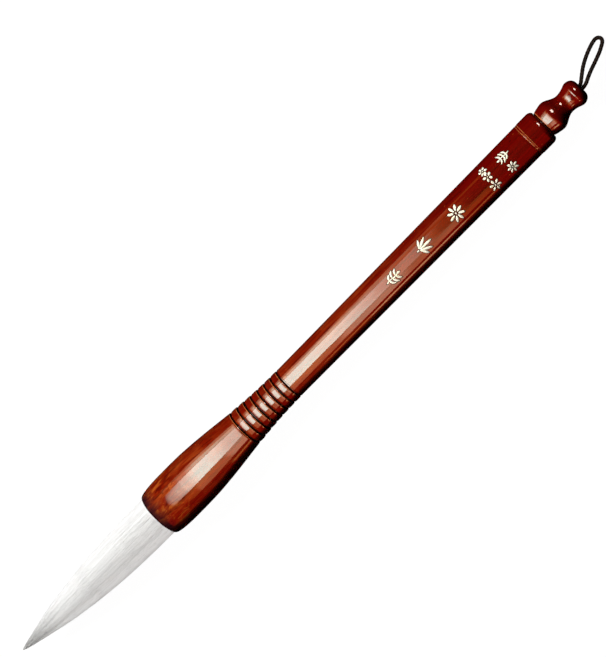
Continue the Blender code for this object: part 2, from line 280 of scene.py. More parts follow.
class Shading:
    """A material with a Principled shader, and short ways to add nodes to it."""

    def __init__(self, name):
        self.material = bpy.data.materials.new(name)
        self.material.use_nodes = True
        self.tree = self.material.node_tree
        self.shader = self.tree.nodes["Principled BSDF"]

    def node(self, kind, **settings):
        node = self.tree.nodes.new("ShaderNode" + kind)
        for key, value in settings.items():
            setattr(node, key, value)
        return node

    def join(self, source, target):
        self.tree.links.new(source, target)

    def put(self, socket, value):
        """Sets a socket to a number or a colour, or links it to another node's socket."""
        if isinstance(value, bpy.types.NodeSocket):
            self.join(value, socket)
        elif isinstance(value, tuple) and len(value) == 3 and socket.type == "RGBA":
            socket.default_value = (*value, 1)
        else:
            socket.default_value = value

    def set(self, **values):
        """Sets the shader's own sockets, named with underscores."""
        for key, value in values.items():
            self.put(self.shader.inputs[key.replace("_", " ")], value)

    def math(self, operation, first, second=0.0, third=0.0, clamp=False):
        node = self.node("Math", operation=operation, use_clamp=clamp)
        for socket, value in zip(node.inputs, (first, second, third)):
            self.put(socket, value)
        return node.outputs[0]

    def ramp(self, value, low, high):
        """0 at low, 1 at high, smooth between."""
        node = self.node("MapRange", interpolation_type="SMOOTHSTEP")
        self.put(node.inputs["Value"], value)
        node.inputs["From Min"].default_value = low
        node.inputs["From Max"].default_value = high
        return node.outputs[0]

    def mix(self, factor, first, second, blend="MIX"):
        node = self.node("Mix", data_type="RGBA", blend_type=blend)
        self.put(node.inputs["Factor"], factor)
        self.put(node.inputs[6], first)
        self.put(node.inputs[7], second)
        return node.outputs[2]

    def place(self, attribute="brush_mm"):
        """The places that a mesh stores, in mm."""
        return self.node("Attribute", attribute_name=attribute).outputs["Vector"]

    def row_place(self):
        """Places in the row frame, in mm."""
        scale = self.node("VectorMath", operation="SCALE")
        self.join(self.node("TexCoord").outputs["Object"], scale.inputs[0])
        scale.inputs["Scale"].default_value = 1 / MM
        return scale.outputs["Vector"]

    def stretch(self, place, size):
        """Places divided by the size of a pattern in each direction, in mm."""
        node = self.node("VectorMath", operation="DIVIDE")
        self.join(place, node.inputs[0])
        node.inputs[1].default_value = size
        return node.outputs["Vector"]

    def noise(self, place, size, detail=2.0, roughness=0.5, distortion=0.0):
        node = self.node("TexNoise")
        self.join(self.stretch(place, size), node.inputs["Vector"])
        node.inputs["Scale"].default_value = 1
        node.inputs["Detail"].default_value = detail
        node.inputs["Roughness"].default_value = roughness
        node.inputs["Distortion"].default_value = distortion
        return node.outputs["Fac"]

    def split(self, place):
        node = self.node("SeparateXYZ")
        self.join(place, node.inputs[0])
        return node.outputs

    def bump(self, height, strength, distance_mm, under=None):
        node = self.node("Bump")
        self.join(height, node.inputs["Height"])
        node.inputs["Strength"].default_value = strength
        node.inputs["Distance"].default_value = distance_mm * MM
        if under is not None:
            self.join(under, node.inputs["Normal"])
        return node.outputs["Normal"]


def grain_place(s):
    """Places unrolled to x, distance round the axis and depth, so that grain runs with the wood
    but keeps its size all round."""
    place = s.place()
    warp = s.noise(place, (30, 6, 6), 1)
    shift = s.node("VectorMath", operation="MULTIPLY_ADD")
    s.join(place, shift.inputs[0])
    shift.inputs[1].default_value = (1, 1, 1)
    drift = s.node("CombineXYZ")
    s.put(drift.inputs["Y"], s.math("MULTIPLY", warp, 1.2))
    s.join(drift.outputs[0], shift.inputs[2])
    return shift.outputs["Vector"]


DEEP_RED = (0.125, 0.0009, 0.0004)
WARM_RED = (0.175, 0.0075, 0.0008)
AMBER = (0.34, 0.058, 0.0085)
DARK_GRAIN = (0.028, 0.0006, 0.0004)
PURPLE_BLACK = (0.022, 0.0046, 0.0060)
WEAR_AND_GLINT_ORANGE = (0.55, 0.16, 0.042)
PORE_AND_SHADE_BLACK = (0.0018, 0.0006, 0.0005)


def ring_mask(s, x, place, at, width):
    """1 on a ragged ring round the brush."""
    off = s.math("ABSOLUTE", s.math("SUBTRACT", x, at))
    ragged = s.math("MULTIPLY_ADD", s.noise(place, (0.6, 0.9, 0.9), 2), -0.7 * width, off)
    return s.ramp(ragged, width * 0.35, -width * 0.15)


def lacquered_wood(name, warmth, mouth=None, wear_and_glint_rings=(), dark=()):
    """Stained wood under glossy lacquer. The stain goes from cool to warm between the two places
    in warmth. mouth darkens it towards an open end. The list of orange rings, place and width,
    gives rubbed lacquer on the shaft, rubbed lacquer with a painted highlight on the lit edge
    beside each groove of the ferrule, and a painted highlight on the finial's lip. dark lists
    rings of painted shade in grooves and notches: place, width."""
    s = Shading(name)
    place = grain_place(s)
    x = s.split(place)[0]

    fine = s.noise(place, (11, 0.24, 0.24), 3, 0.6)
    broad = s.noise(place, (26, 1.1, 1.1), 2, 0.55)
    blotch = s.noise(place, (7, 3.4, 3.4), 2, 0.6, 0.4)
    warm = s.ramp(x, *warmth)
    base = s.mix(warm, DEEP_RED, WARM_RED)
    amber = s.math("MULTIPLY_ADD", s.ramp(blotch, 0.42, 0.66), 0.6, s.ramp(broad, 0.5, 0.72),
                   clamp=True)
    amber = s.math("MULTIPLY", amber, s.math("MULTIPLY_ADD", warm, 0.44, 0.02))
    base = s.mix(amber, base, AMBER)
    base = s.mix(s.math("MULTIPLY", s.ramp(broad, 0.46, 0.30), 0.55), base, DARK_GRAIN)
    base = s.mix(s.math("MULTIPLY", s.ramp(fine, 0.46, 0.30), 0.6), base, DARK_GRAIN)
    pores = s.noise(place, (1.3, 0.34, 0.34), 1, 0.4)
    specks = s.ramp(pores, 0.72, 0.78)
    base = s.mix(s.math("MULTIPLY", specks, 0.8), base, PORE_AND_SHADE_BLACK)
    sparks = s.ramp(s.noise(place, (1.5, 0.5, 0.5), 0), 0.80, 0.85)
    base = s.mix(s.math("MULTIPLY", sparks, 0.6), base, AMBER)
    if mouth:
        near = s.ramp(x, mouth + 24, mouth + 5)
        patches = s.noise(place, (5.0, 2.0, 2.0), 3, 0.6, 0.8)
        for low, high, colour in (
            (0.52, 0.64, (0.40, 0.085, 0.010)),
            (0.46, 0.36, (0.055, 0.0012, 0.0006)),
        ):
            here = s.math("MULTIPLY", s.ramp(patches, low, high), near)
            base = s.mix(s.math("MULTIPLY", here, 0.75), base, colour)
        reach = s.math("MULTIPLY_ADD", s.noise(place, (5, 2.2, 2.2), 2), 4.0, x)
        base = s.mix(s.ramp(reach, mouth + 8.5, mouth + 2.2), base, PURPLE_BLACK)
    # painted shade: near-black rings in the grooves and notches, where shade falls
    for at, width in dark:
        base = s.mix(s.math("MULTIPLY", ring_mask(s, x, place, at, width), 0.95), base, PORE_AND_SHADE_BLACK)
    # orange rings: rubbed lacquer on the shaft; by the ferrule's grooves, rubbed lacquer with a
    # painted highlight on the lit edge; on the finial's lip, a painted highlight
    for at, width in wear_and_glint_rings:
        base = s.mix(s.math("MULTIPLY", ring_mask(s, x, place, at, width), 0.8), base, WEAR_AND_GLINT_ORANGE)

    s.set(Base_Color=base, Roughness=0.34, Specular_IOR_Level=0.05, Specular_Tint=(1.0, 0.3, 0.12))
    s.set(Coat_Weight=1.0, Coat_Roughness=0.06, Coat_IOR=1.5)
    relief = s.bump(fine, 0.10, 0.04)
    relief = s.bump(s.math("MULTIPLY", specks, -1.0), 0.30, 0.12, relief)
    s.put(s.shader.inputs["Normal"], relief)
    wavy = s.noise(place, (16, 2.2, 2.2), 1)
    s.put(s.shader.inputs["Coat Normal"], s.bump(wavy, 0.12, 0.25, s.bump(fine, 0.06, 0.03)))
    return s.material


def hair_material(name, light, grey, attribute):
    """White hair, with fine streaks that run with it. The attribute holds x, turn and tone."""
    s = Shading(name)
    x, turn, tone = s.split(s.place(attribute))
    lane = s.node("CombineXYZ")
    s.put(lane.inputs[0], x)
    s.put(lane.inputs[1], turn)
    streak = s.noise(lane.outputs[0], (9, 0.5, 1), 1, 0.5)
    hairs = s.noise(lane.outputs[0], (30, 0.30, 1), 2, 0.6)
    shade = s.math("MULTIPLY", s.ramp(streak, 0.68, 0.80), 0.60)
    shade = s.math("ADD", shade, s.math("MULTIPLY", s.ramp(hairs, 0.50, 0.80), 0.30))
    shade = s.math("ADD", shade, s.math("MULTIPLY", tone, 0.16))
    flecks = s.noise(lane.outputs[0], (2.6, 0.22, 1), 1, 0.5)
    shade = s.math("ADD", shade, s.math("MULTIPLY", s.ramp(flecks, 0.66, 0.76), 0.5), clamp=True)
    colour = s.mix(shade, light, grey)
    near_tip = s.math("MULTIPLY", s.ramp(x, 24, -3), 0.80)
    colour = s.mix(near_tip, colour, (0.33, 0.33, 0.32))
    s.set(Base_Color=colour, Roughness=0.6, Specular_IOR_Level=0.2)
    s.put(s.shader.inputs["Normal"], s.bump(hairs, 0.12, 0.05))
    return s.material


def cord_material():
    """Waxed dark cord. The attribute holds distance along it, turn and how deep the braid dips, and
    the dips are darkened with painted shade.
    """
    s = Shading("waxed_cord")
    along, turn, dip = s.split(s.place("braid"))
    fibres = s.node("CombineXYZ")
    s.put(fibres.inputs[0], along)
    s.put(fibres.inputs[1], turn)
    threads = s.noise(fibres.outputs[0], (0.35, 0.12, 1), 2)
    wear = s.noise(fibres.outputs[0], (1.6, 1.2, 1), 2)
    colour = s.mix(threads, (0.002, 0.0008, 0.0005), (0.008, 0.0028, 0.0017))
    colour = s.mix(s.ramp(wear, 0.52, 0.75), colour, (0.030, 0.012, 0.007))
    # painted shade in the hollows where the braid dips
    colour = s.mix(s.ramp(dip, 0.35, 0.95), colour, (0.002, 0.0012, 0.001))
    s.set(Base_Color=colour, Roughness=0.5, Specular_IOR_Level=0.06)
    s.put(s.shader.inputs["Normal"], s.bump(threads, 0.4, 0.05))
    return s.material


def inlay_material():
    """Pale gold paint, thick in the cut strokes."""
    s = Shading("pale_gold_paint")
    place = s.place()
    patches = s.noise(place, (0.9, 0.9, 0.9), 3, 0.6)
    colour = s.mix(s.ramp(patches, 0.40, 0.70), (0.95, 0.93, 0.77), (0.86, 0.78, 0.50))
    s.set(Base_Color=colour, Roughness=0.5, Specular_IOR_Level=0.4)
    s.put(s.shader.inputs["Normal"], s.bump(patches, 0.3, 0.08))
    return s.material


def shadow_edge_material():
    """A dark rim round each raised stroke."""
    s = Shading("dark_stroke_rim")
    place = s.place()
    uneven = s.noise(place, (0.7, 0.7, 0.7), 2)
    colour = s.mix(uneven, (0.012, 0.003, 0.0015), (0.045, 0.010, 0.004))
    s.set(Base_Color=colour, Roughness=0.8, Specular_IOR_Level=0.1)
    s.put(s.shader.inputs["Normal"], s.bump(uneven, 0.3, 0.05))
    return s.material


def hidden_material(name, first, second, size, roughness):
    """For the pieces inside: two mixed colours in a pattern of the given size, in mm."""
    s = Shading(name)
    pattern = s.noise(s.row_place(), size, 3, 0.6)
    s.set(Base_Color=s.mix(s.ramp(pattern, 0.35, 0.68), first, second), Roughness=roughness)
    s.put(s.shader.inputs["Normal"], s.bump(pattern, 0.3, 0.10))
    return s.material


# ---------------------------------------------------------------- camera and light


def make_camera():
    """Stands over the finial's end of the brush, tilted towards the tuft."""
    back = Vector((math.sin(CAMERA_TILT), 0, math.cos(CAMERA_TILT)))
    ahead = Vector((math.cos(CAMERA_TILT), 0, -math.sin(CAMERA_TILT)))
    side = Vector((0, 1, 0))
    right = ahead * math.cos(CAMERA_ROLL) - side * math.sin(CAMERA_ROLL)
    up = ahead * math.sin(CAMERA_ROLL) + side * math.cos(CAMERA_ROLL)
    turn = Matrix((right, up, back)).transposed().to_4x4()
    data = bpy.data.cameras.new("camera")
    data.sensor_width = SENSOR
    data.lens = SENSOR * FOCAL_PIXELS / FRAME_HEIGHT
    data.clip_start = 0.01
    data.clip_end = 100
    camera = bpy.data.objects.new("camera", data)
    bpy.context.scene.collection.objects.link(camera)
    camera.matrix_world = BRUSH @ Matrix.Translation(Vector(CAMERA_AT) * MM) @ turn
    bpy.context.scene.camera = camera


def area_light(name, place, target, size, watts, colour=(1, 1, 1), gloss=True, only=None):
    """A light at a place, in metres in the brush's space, that faces a target. The first side of
    its size lies along the brush as nearly as it can. A gloss light shows only in reflections,
    and any other only lights what it falls on, or what is in the collection that it is for."""
    data = bpy.data.lights.new(name, "AREA")
    data.shape = "RECTANGLE"
    data.size, data.size_y = size
    data.energy = watts
    data.color = colour
    light = bpy.data.objects.new(name, data)
    bpy.context.scene.collection.objects.link(light)
    back = (Vector(place) - Vector(target)).normalized()
    along = Vector((1, 0, 0))
    along = (along - back * along.dot(back)).normalized()
    turn = Matrix((along, back.cross(along), back)).transposed().to_4x4()
    light.matrix_world = BRUSH @ Matrix.Translation(place) @ turn
    light.visible_diffuse = not gloss
    light.visible_glossy = gloss
    light.visible_transmission = not gloss
    light.visible_camera = False
    if only:
        light.light_linking.receiver_collection = only
    return light


def make_world():
    """A little light from all round, which reflections don't see."""
    world = bpy.data.worlds.new("studio")
    world.use_nodes = True
    world.node_tree.nodes["Background"].inputs["Color"].default_value = (1, 1, 1, 1)
    world.node_tree.nodes["Background"].inputs["Strength"].default_value = FILL_STRENGTH
    bpy.context.scene.world = world
    world.cycles_visibility.glossy = False


def panel(name, lower, upper, tiers):
    """Lights seen in the lacquer, one over another so that their ends fade. They stand off the
    brush's axis and fill the angles between lower and upper, in degrees from overhead towards +y.
    Each tier runs between two places along the brush, glows with a strength of red, green and
    blue, and stands a little further off than the last, because lights in one plane hide each
    other."""
    turn = math.radians((lower + upper) / 2)
    for step, (start, end, glow) in enumerate(tiers):
        away = PANEL_DISTANCE + TIER_STEP * step
        height = 2 * away * math.tan(math.radians((upper - lower) / 2))
        width, middle = end - start, (start + end) / 2
        place = (middle, away * math.sin(turn), away * math.cos(turn))
        strength = max(glow)
        area_light(f"{name}_{step}", place, (middle, 0, 0), (width, height),
                   math.pi * width * height * strength, tuple(c / strength for c in glow))


def make_lights(hair, rest):
    """The key stands over the tuft's half, on the side that the loop leans to. The white hair has
    lights of its own all round, so that it looks as clear as hair does with light inside it.
    The rest are what the lacquer mirrors: a softbox with soft ends, dim warm panels across and
    beside it, a low strip and a small lamp."""
    area_light("key", (-0.48, 0.65, 0.88), (0.14, 0.0, 0.0), (0.5, 0.2), KEY_WATTS, gloss=False,
               only=rest)
    area_light("hair_key", (0.0, 0.87, 0.50), (0.02, 0.0, 0.0), (0.9, 0.5), HAIR_KEY_WATTS,
               gloss=False, only=hair)
    area_light("hair_top", (0.0, 0.05, 1.10), (0.02, 0.0, 0.0), (0.6, 0.6), HAIR_TOP_WATTS,
               gloss=False, only=hair)
    area_light("hair_fill", (0.02, -0.72, 0.42), (0.02, 0.0, 0.0), (0.9, 0.5), HAIR_FILL_WATTS,
               gloss=False, only=hair)
    core, pale = (1.5, 2.24, 2.04), (0.95, 1.6, 1.25)
    panel("softbox", -18, 39, [(start, end, core) for start, end in (
        (-0.044, 0.168), (-0.031, 0.140), (-0.018, 0.128), (-0.006, 0.1185), (0.006, 0.1085),
        (0.018, 0.095), (0.036, 0.080))] + [
        (-0.045, 0.195, (1.4, 0.4, 0.05)), (-0.03, 0.175, (2.0, 0.6, 0.2)),
        (-0.01, 0.155, (2.0, 0.6, 0.25))])
    panel("left_inner", 40, 53, [(start, end, pale) for start, end in (
        (-0.005, 0.145), (0.015, 0.128), (0.030, 0.115), (0.045, 0.100))] + [
        (-0.05, 0.19, (2.7, 0.58, 0.08)), (-0.02, 0.165, (1.8, 0.8, 0.4))])
    panel("left_outer", 53, 64.5, [
        (-0.06, 0.215, (1.6, 0.42, 0.05)), (-0.035, 0.19, (1.1, 0.5, 0.25)),
        (-0.01, 0.165, (0.45, 0.80, 0.55)), (0.02, 0.14, (0.45, 0.80, 0.55))])
    panel("right", -54.5, -19, [
        (-0.012, 0.215, (1.8, 0.52, 0.08)), (0.01, 0.19, (1.9, 1.1, 0.6)),
        (0.10, 0.15, (2.4, 2.0, 1.5))])
    panel("low_strip", -79, -70, [
        (0.085, 0.215, (4.0, 1.4, 0.3)), (0.12, 0.192, (2.9, 2.7, 1.5))])
    panel("ember", -88, -30, [(-0.15, 0.32, (1.6, 0.01, 0.005))])
    area_light("small_lamp", (0.95, 0.55, 0.95), (0.26, 0.0, 0.0), (0.36, 0.45), SMALL_LAMP_WATTS,
               (1.0, 0.88, 0.76))


def make_floor():
    """A pale sheet that curves up at its rim and glows a little, as a light table does. Neither
    reflections nor bounced light see it, so that the lacquer's underside stays dark."""
    flat, rise, steps = 2.6, 1.2, 10
    rim = [(flat + rise * math.sin(a), rise * (1 - math.cos(a)))
           for a in (math.pi / 2 * i / steps for i in range(steps + 1))]
    profile = [(0.0, 0.0), (0.6, 0.0), *rim]
    segments = 96
    mesh = bmesh.new()
    verts = [mesh.verts.new((r, 0, z)) for r, z in profile]
    edges = [mesh.edges.new(pair) for pair in zip(verts, verts[1:])]
    bmesh.ops.spin(mesh, geom=verts + edges, cent=(0, 0, 0), axis=(0, 0, 1),
                   angle=math.tau, steps=segments, use_merge=True)
    bmesh.ops.remove_doubles(mesh, verts=mesh.verts, dist=1e-6)
    bmesh.ops.recalc_face_normals(mesh, faces=mesh.faces)
    data = bpy.data.meshes.new("floor")
    mesh.to_mesh(data)
    mesh.free()
    data.shade_smooth()
    floor = add_object("floor", data)
    s = Shading("light_table")
    s.set(Base_Color=(0.04, 0.04, 0.04), Roughness=0.9, Specular_IOR_Level=0.1)
    s.set(Emission_Color=(1.0, 1.0, 1.0), Emission_Strength=0.985)
    paint(floor, s.material)
    floor.visible_glossy = False
    floor.visible_diffuse = False


# ---------------------------------------------------------------- cord


def frames_along(points):
    """A tangent and two normals at each point, carried along without twist."""
    points = [Vector(p) for p in points]
    frames = []
    normal = Vector((0, 0, 1))
    for i, point in enumerate(points):
        ahead = points[min(i + 1, len(points) - 1)] - points[max(i - 1, 0)]
        tangent = ahead.normalized()
        normal = (normal - tangent * normal.dot(tangent)).normalized()
        frames.append((point, normal, tangent.cross(normal)))
    return frames


def even_points(points, spacing):
    """Points at an even spacing along a line through the given ones."""
    points = np.array(points, float)
    steps = np.linalg.norm(np.diff(points, axis=0), axis=1)
    at = np.concatenate(([0], np.cumsum(steps)))
    wanted = np.linspace(0, at[-1], int(round(at[-1] / spacing)) + 1)
    return np.stack([np.interp(wanted, at, points[:, axis]) for axis in range(3)], axis=1), at[-1]


def make_cord():
    """One braided cord: up one leg out of the finial, round the loop and back down the other."""
    exit_row = to_row((EXIT, 0, 0))
    fall = exit_row.z / MM - CORD_RADIUS - TABLE_GAP
    route = [(x, y, -fall * down) for x, y, down in LOOP_ROUTE]
    loop = smooth_curve(route, 12)
    leg_end = 1.6
    line = [(-leg_end, LEG_OFFSET, 0), (-0.9, LEG_OFFSET, 0), *loop,
            (-0.9, -LEG_OFFSET, 0), (-leg_end, -LEG_OFFSET, 0)]
    centres, length = even_points(line, 0.11)
    sides, lobes, pitch = 20, 4, 2.6
    verts, braid, path = [], [], []
    for i, (centre, normal, binormal) in enumerate(frames_along(centres)):
        s = length * i / (len(centres) - 1)
        path.append(exit_row + centre * MM)
        for k in range(sides):
            a = math.tau * k / sides
            left = math.cos(lobes / 2 * a + math.tau * s / pitch)
            right = math.cos(lobes / 2 * a - math.tau * s / pitch)
            crown = max(abs(left), abs(right))
            r = CORD_RADIUS * (0.88 + 0.22 * crown)
            place = centre + (normal * math.cos(a) + binormal * math.sin(a)) * r
            verts.append(exit_row + place * MM)
            braid.append((s, a * CORD_RADIUS, (1 - crown) / 0.29))
    rings = len(path)
    faces = [
        (i * sides + k, i * sides + (k + 1) % sides, (i + 1) * sides + (k + 1) % sides,
         (i + 1) * sides + k)
        for i in range(rings - 1) for k in range(sides)
    ]
    faces.append(tuple(reversed(range(sides))))
    faces.append(tuple(range((rings - 1) * sides, rings * sides)))
    data = bpy.data.meshes.new("hanging_cord")
    data.from_pydata([tuple(v) for v in verts], [], faces)
    data.shade_smooth()
    cord = bpy.data.objects.new("hanging_cord", data)
    bpy.context.scene.collection.objects.link(cord)
    store(data, "braid", braid)
    paint(cord, cord_material())
    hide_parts("hanging_loop")
    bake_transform(cord)


# ---------------------------------------------------------------- wood


def neck_radius(x):
    share = (NECK_END - x) / (NECK_END - NECK_START)
    return 6.1 + 1.2 * share**2


def groove(x, radius, depth, width):
    """A round-bottomed groove with softened edges."""
    return [
        (x - width * 0.62, radius),
        (x - width * 0.46, radius - depth * 0.10),
        (x - width * 0.28, radius - depth * 0.62),
        (x - width * 0.10, radius - depth * 0.97),
        (x + width * 0.10, radius - depth * 0.97),
        (x + width * 0.28, radius - depth * 0.62),
        (x + width * 0.46, radius - depth * 0.10),
        (x + width * 0.62, radius),
    ]


def neck_outline():
    """Nearly straight beads between V-shaped grooves, each a little smaller than the last."""
    points = []
    for i in range(BEAD_COUNT + 1):
        at = NECK_START + i * BEAD_PITCH
        depth = 0.36 if i in (0, BEAD_COUNT) else 0.45
        middle = neck_radius(at + 0.5 * BEAD_PITCH) if i < BEAD_COUNT else 6.10
        before = neck_radius(at - 0.5 * BEAD_PITCH) if i else neck_radius(at)
        points += [(at - 0.40, before + 0.005), (at - 0.33, before - 0.05), (at, before - depth),
                   (at + 0.30, middle - 0.04), (at + 0.36, middle + 0.01)]
        if i < BEAD_COUNT:
            for share, crown in ((0.15, 0.045), (0.20, 0.068), (0.34, 0.088), (0.5, 0.095),
                                 (0.64, 0.086), (0.76, 0.066), (0.83, 0.040)):
                points.append((at + share * BEAD_PITCH, middle + crown))
    return points


def make_ferrule():
    lip = quarter_ellipse((MOUTH + 9.0, 8.62), (-9.0, BELLY_RADIUS - 8.62), 24)
    bell = smooth_curve(
        (
            (BELLY_END, BELLY_RADIUS),
            (MOUTH + 21.0, 9.6),
            (MOUTH + 27.0, 9.15),
            (MOUTH + 33.0, 8.55),
            (MOUTH + 39.0, 7.84),
            (NECK_START - 1.0, 7.41),
        ),
        8,
    )
    socket_bottom = MOUTH + 15.4
    bore = TENON_RADIUS + GAP
    bore_bottom = FERRULE_END - 14.6
    outline = [
        (socket_bottom, 0),
        (socket_bottom, SOCKET_RADIUS),
        (MOUTH + 0.35, SOCKET_RADIUS),
        (MOUTH + 0.08, SOCKET_RADIUS + 0.08),
        (MOUTH, SOCKET_RADIUS + 0.2),
        *lip,
        *bell,
        *neck_outline(),
        (FERRULE_END - 0.03, 6.105),
        (FERRULE_END, 6.07),
        (FERRULE_END, bore),
        (bore_bottom, bore),
        (bore_bottom, 0),
    ]
    ferrule = turned("turned_ferrule", outline, 160)
    grooves = [NECK_START + i * BEAD_PITCH for i in range(BEAD_COUNT + 1)]
    # In each groove a near-black ring of painted shade; beside it an orange ring of rubbed lacquer
    # with a painted highlight on its lit edge.
    paint(ferrule, lacquered_wood("ferrule_lacquer", (150.0, 92.0), mouth=MOUTH,
                                  wear_and_glint_rings=[(at - 0.50, 0.20) for at in grooves],
                                  dark=[(at, 0.85) for at in grooves]))
    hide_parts("ferrule")
    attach(ferrule, "handle")


def shaft_radius(x):
    return 6.08 + 0.52 * (x - FERRULE_END) / (SHAFT_END - FERRULE_END)


def make_shaft():
    start = FERRULE_END + 0.02
    places = [start + 0.2, start + 0.35, start + 0.6]
    places += [start + 1.0 + (SHAFT_END - 3.0 - start) * i / 40 for i in range(41)]
    ring = SHAFT_END - 0.95
    outline = [
        (FERRULE_END - 14.0, 0),
        (FERRULE_END - 14.0, TENON_RADIUS - 0.3),
        (FERRULE_END - 13.7, TENON_RADIUS),
        (start, TENON_RADIUS),
        (start, 6.05),
        (start + 0.05, 6.085),
        *[(x, shaft_radius(x)) for x in places],
        *groove(ring, shaft_radius(ring), 0.10, 0.30),
        (SHAFT_END - 0.04, shaft_radius(SHAFT_END)),
        (SHAFT_END, shaft_radius(SHAFT_END) - 0.06),
        (SHAFT_END, END_BORE_RADIUS),
        (SHAFT_END - 18.0, END_BORE_RADIUS),
        (SHAFT_END - 18.0, 0),
    ]
    shaft = turned("turned_shaft", outline)
    paint(shaft, lacquered_wood("shaft_lacquer", (236.0, 140.0),
                                wear_and_glint_rings=[(ring, 0.20), (SHAFT_END - 0.15, 0.18)]))
    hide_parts("shaft")
    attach(shaft, "handle")


def make_collar():
    start = SHAFT_END + 0.02
    shoulder = quarter_ellipse((COLLAR_END - 2.0, 5.3), (2.0, 6.69 - 5.3), 14)
    outline = [
        (start, END_BORE_RADIUS),
        (start, 6.69),
        (start + 0.3, 6.69),
        (COLLAR_END - 2.4, 6.69),
        *reversed(shoulder),
        (COLLAR_END, END_BORE_RADIUS),
    ]
    collar = turned("turned_collar", outline)
    paint(collar, lacquered_wood("collar_lacquer", (250.0, 240.0)))
    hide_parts("end_collar")
    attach(collar, "handle")


def make_finial():
    start = COLLAR_END + 0.005
    bulb = smooth_curve(
        (
            (start, 4.85),
            (start + 0.35, 5.12),
            (start + 1.3, 5.40),
            (start + 2.1, 5.57),
            (start + 2.9, 5.73),
            (start + 3.5, 5.82),
            (start + 4.1, 5.85),
            (start + 4.9, 5.74),
            (start + 6.1, 5.26),
            (start + 7.5, 4.47),
            (start + 8.8, 3.95),
            (start + 9.8, 3.82),
            (start + 10.5, 3.85),
            (start + 11.2, 3.95),
            (start + 11.9, 4.12),
            (start + 12.6, 4.35),
            (start + 13.3, 4.61),
            (start + 13.7, 4.76),
            (start + 14.0, 4.835),
            (start + 14.35, 4.86),
        ),
        5,
    )
    dome = quarter_ellipse((275.35, 2.2), (FINIAL_END - 275.35, 4.86 - 2.2), 16)
    bore = 1.5
    cup_radius = 1.85
    rim = math.sqrt(cup_radius**2 - (EXIT - FINIAL_END) ** 2)
    cup = [(EXIT - math.sqrt(cup_radius**2 - r * r), r)
           for r in (rim + (bore - rim) * i / 5 for i in range(6))]
    outline = [
        (SHAFT_END - 8.5, bore),
        (SHAFT_END - 8.5, 3.6),
        (start, 3.6),
        *bulb,
        *reversed(dome),
        (FINIAL_END - 0.03, rim + 0.12),
        *cup,
    ]
    finial = turned("turned_finial", outline)
    # At the joint, a near-black ring of painted shade in the notch, and beside it an orange ring
    # painted as the highlight on the lip.
    paint(finial, lacquered_wood("finial_lacquer", (250.0, 240.0), dark=[(start, 0.5)],
                                 wear_and_glint_rings=[(start + 0.55, 0.22)]))
    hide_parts("finial")
    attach(finial, "handle")


# ---------------------------------------------------------------- ornaments


def on_shaft(x, arc, height):
    """A point on the shaft: arc is the distance round it from the top line, towards +y."""
    r = shaft_radius(x)
    turn = arc / r
    return (x, (r + height) * math.sin(turn), (r + height) * math.cos(turn))


def stroke(verts, faces, centre, points, widths, height, grow=0.0):
    """A raised brush stroke on the shaft, with a flat back in the wood and rounded ends."""
    line = smooth_curve([(x, a, 0) for x, a in points], 5)
    width = smooth_curve([(w, 0, 0) for w in widths], 5 * (len(points) - 1) // (len(widths) - 1))
    first = len(verts)
    count = len(line)
    for i, (x, a, _) in enumerate(line):
        before, after = line[max(i - 1, 0)], line[min(i + 1, count - 1)]
        dx, da = after[0] - before[0], after[1] - before[1]
        size = math.hypot(dx, da) or 1
        nx, na = -da / size, dx / size
        end = 0.30 if i in (0, count - 1) else 1.0
        half = (width[min(i, len(width) - 1)][0] / 2 + grow) * end
        push = -grow if i == 0 else grow if i == count - 1 else 0
        x, a = x + dx / size * push, a + da / size * push
        for side, lift in ((-1, -0.08), (-0.82, height * 0.8), (0, height), (0.82, height * 0.8),
                           (1, -0.08)):
            verts.append(on_shaft(centre[0] + x + nx * half * side,
                                  centre[1] + a + na * half * side, lift))
    for i in range(count - 1):
        a, b = first + i * 5, first + (i + 1) * 5
        faces += [(a + k, a + k + 1, b + k + 1, b + k) for k in range(4)]
        faces.append((a + 4, a, b, b + 4))
    faces.append(tuple(first + k for k in reversed(range(5))))
    faces.append(tuple(first + (count - 1) * 5 + k for k in range(5)))


def turned_strokes(strokes, angle, scale=1.0):
    c, s = math.cos(angle) * scale, math.sin(angle) * scale
    return [([(x * c - y * s, x * s + y * c) for x, y in points], [w * scale for w in widths])
            for points, widths in strokes]


def spray():
    """A stem with pairs of slanting leaves and a leaf at its end."""
    strokes = [([(-3.3, -0.1), (-1.6, 0.15), (0.4, -0.1), (2.2, 0.0)], [0.6, 0.55, 0.55, 0.5])]
    for x, reach in ((-1.9, 2.0), (-0.4, 2.5), (1.1, 2.1)):
        for side in (1, -1):
            strokes.append(([(x, 0.0), (x + 0.55, side * reach * 0.62), (x + 1.5, side * reach)],
                            [0.45, 0.95, 0.3]))
    strokes.append(([(1.9, 0.0), (2.7, 0.15), (3.4, 0.0)], [0.5, 1.0, 0.3]))
    return strokes


def fan():
    """Five leaves that spread from the end of a short stem."""
    strokes = [([(-3.4, 0.1), (-2.9, 0.05), (-2.4, 0.0)], [0.7, 0.55, 0.5])]
    for degrees, length in ((-58, 3.6), (-29, 4.8), (0, 5.6), (29, 4.8), (58, 3.6)):
        c, s = math.cos(math.radians(degrees)), math.sin(math.radians(degrees))
        strokes.append(([(-2.4 + 0.3 * c, 0.3 * s), (-2.4 + 0.6 * length * c, 0.6 * length * s),
                         (-2.4 + length * c, length * s)], [0.4, 1.05, 0.3]))
    return strokes


def blossom(petals=8, reach=3.1, heart=0.55, width=1.05):
    """Petals round a heart."""
    strokes = [([(-heart / 2, 0), (heart / 2, 0.03)], [heart * 1.5, heart * 1.5])]
    for i in range(petals):
        a = math.tau * (i + 0.3) / petals
        c, s = math.cos(a), math.sin(a)
        strokes.append(([(1.35 * heart * c, 1.35 * heart * s), (0.68 * reach * c, 0.68 * reach * s),
                         (reach * c, reach * s)], [width * 0.4, width, width * 0.45]))
    return strokes


